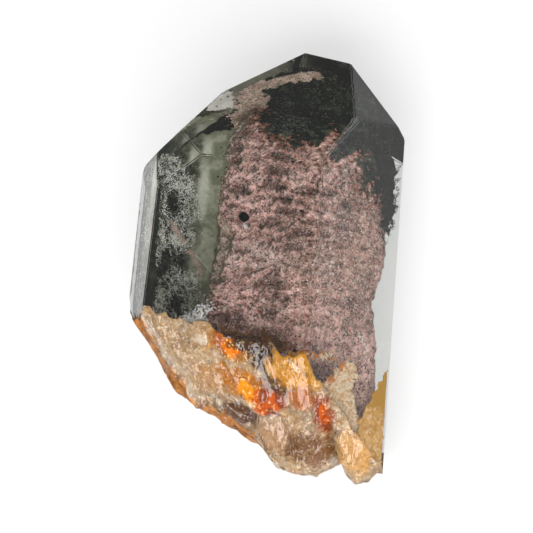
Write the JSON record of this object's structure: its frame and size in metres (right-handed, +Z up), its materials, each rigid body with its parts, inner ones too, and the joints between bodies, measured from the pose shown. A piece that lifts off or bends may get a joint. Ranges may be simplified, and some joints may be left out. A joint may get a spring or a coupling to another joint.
{
  "type": "garden quartz crystal",
  "caption": "Clear quartz point with a pyramid tip and a broken stained base, lying on a prism face, with a pink mineral garden and dark chlorite sealed inside.",
  "frame": {"origin": "centre of the bounding box's bottom, on the surface the crystal lies on", "axes": "+Y along the crystal's long axis toward the tip, +Z up, out of the front prism face, +X to the picture's right"},
  "size_m": [0.0368, 0.0598, 0.0215],
  "materials": {
    "quartz": "clear, glossy faces; broken base stained cream, amber and rust",
    "garden": "fine granular, dull",
    "chlorite": "mossy, dull"
  },
  "bodies": {
    "root": {"quartz_front": "quartz", "quartz_back": "quartz", "garden": "garden", "chlorite_bed": "chlorite"}
  },
  "joints": []
}
